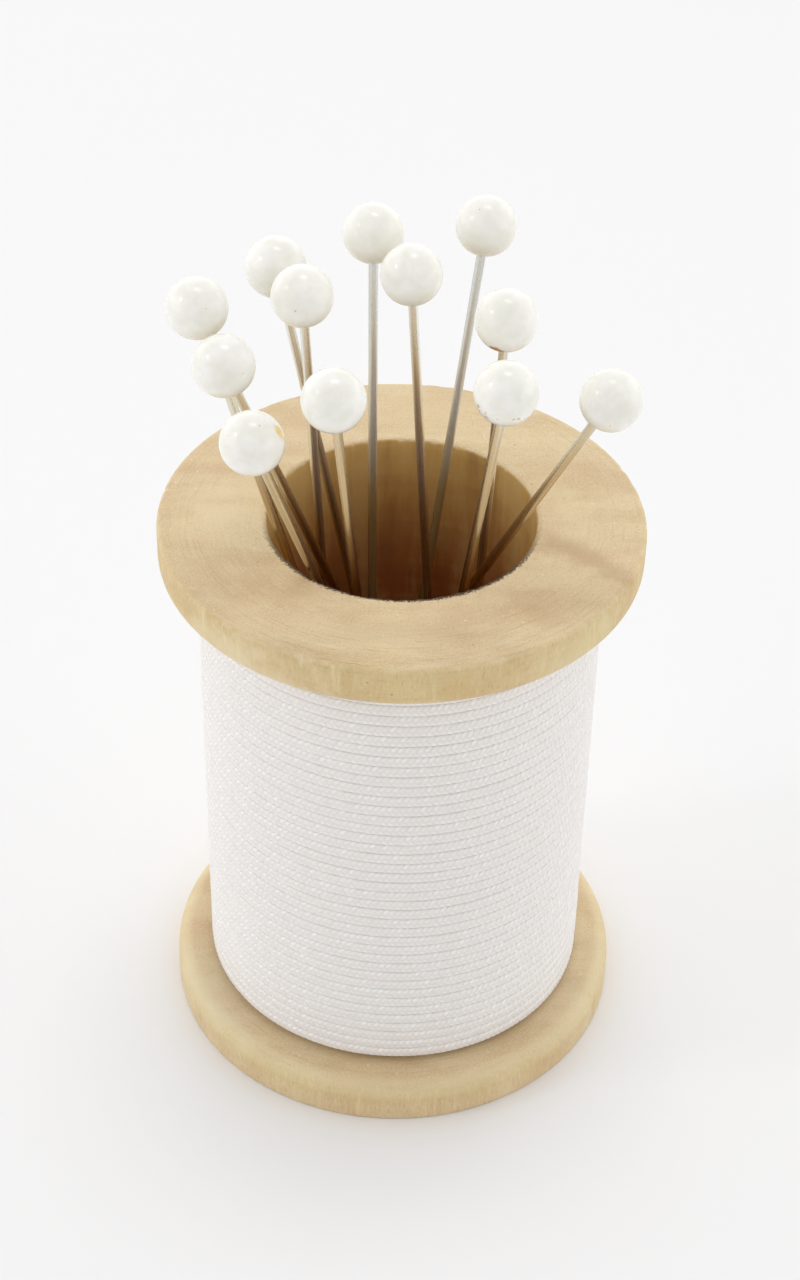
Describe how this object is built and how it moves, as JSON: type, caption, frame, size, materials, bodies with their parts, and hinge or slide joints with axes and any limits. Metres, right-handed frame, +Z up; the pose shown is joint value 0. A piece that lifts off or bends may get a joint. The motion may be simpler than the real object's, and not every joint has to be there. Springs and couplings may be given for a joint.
{
  "type": "spool of thread with pins",
  "caption": "Small turned wooden spool wound with white thread, with a wide well in its top that holds bead-headed pins.",
  "frame": {"origin": "mouth of the spindle hole in the middle of the base face", "axes": "+Z up along the spool's axis, -Y towards the side that the picture shows, +X to that view's right"},
  "size_m": [0.0318, 0.0318, 0.0606],
  "materials": {
    "wood": "bare turned hardwood, matt",
    "thread": "white braided thread, soft sheen",
    "steel": "bright drawn wire",
    "bead": "polished white stone"
  },
  "bodies": {
    "spool": {"spool_body": "wood", "thread_under_layers": "thread", "thread_outer_layer": "thread"},
    "pin_01": {"pin_01_shaft": "steel", "pin_01_head": "bead"},
    "pin_02": {"pin_02_shaft": "steel", "pin_02_head": "bead"},
    "pin_03": {"pin_03_shaft": "steel", "pin_03_head": "bead"},
    "pin_04": {"pin_04_shaft": "steel", "pin_04_head": "bead"},
    "pin_05": {"pin_05_shaft": "steel", "pin_05_head": "bead"},
    "pin_06": {"pin_06_shaft": "steel", "pin_06_head": "bead"},
    "pin_07": {"pin_07_shaft": "steel", "pin_07_head": "bead"},
    "pin_08": {"pin_08_shaft": "steel", "pin_08_head": "bead"},
    "pin_09": {"pin_09_shaft": "steel", "pin_09_head": "bead"},
    "pin_10": {"pin_10_shaft": "steel", "pin_10_head": "bead"},
    "pin_11": {"pin_11_shaft": "steel", "pin_11_head": "bead"},
    "pin_12": {"pin_12_shaft": "steel", "pin_12_head": "bead"}
  },
  "joints": [
    {"name": "pin_01_pull", "type": "slide", "parent": "spool", "child": "pin_01", "axis": [-0.2852, 0.0403, 0.9576], "range_m": [0, 0.0286]},
    {"name": "pin_02_pull", "type": "slide", "parent": "spool", "child": "pin_02", "axis": [-0.2837, -0.2573, 0.9237], "range_m": [0, 0.0297]},
    {"name": "pin_03_pull", "type": "slide", "parent": "spool", "child": "pin_03", "axis": [-0.2107, -0.3852, 0.8985], "range_m": [0, 0.0305]},
    {"name": "pin_04_pull", "type": "slide", "parent": "spool", "child": "pin_04", "axis": [-0.1714, -0.12, 0.9779], "range_m": [0, 0.028]},
    {"name": "pin_05_pull", "type": "slide", "parent": "spool", "child": "pin_05", "axis": [-0.0401, -0.1886, 0.9812], "range_m": [0, 0.0279]},
    {"name": "pin_06_pull", "type": "slide", "parent": "spool", "child": "pin_06", "axis": [-0.065, -0.3105, 0.9483], "range_m": [0, 0.0289]},
    {"name": "pin_07_pull", "type": "slide", "parent": "spool", "child": "pin_07", "axis": [-0.0052, -0.0719, 0.9974], "range_m": [0, 0.0275]},
    {"name": "pin_08_pull", "type": "slide", "parent": "spool", "child": "pin_08", "axis": [-0.0578, -0.1538, 0.9864], "range_m": [0, 0.0278]},
    {"name": "pin_09_pull", "type": "slide", "parent": "spool", "child": "pin_09", "axis": [0.1065, -0.0431, 0.9934], "range_m": [0, 0.0276]},
    {"name": "pin_10_pull", "type": "slide", "parent": "spool", "child": "pin_10", "axis": [0.0274, -0.2229, 0.9744], "range_m": [0, 0.0281]},
    {"name": "pin_11_pull", "type": "slide", "parent": "spool", "child": "pin_11", "axis": [0.0932, -0.2879, 0.9531], "range_m": [0, 0.0287]},
    {"name": "pin_12_pull", "type": "slide", "parent": "spool", "child": "pin_12", "axis": [0.3809, -0.2488, 0.8905], "range_m": [0, 0.0308]}
  ]
}
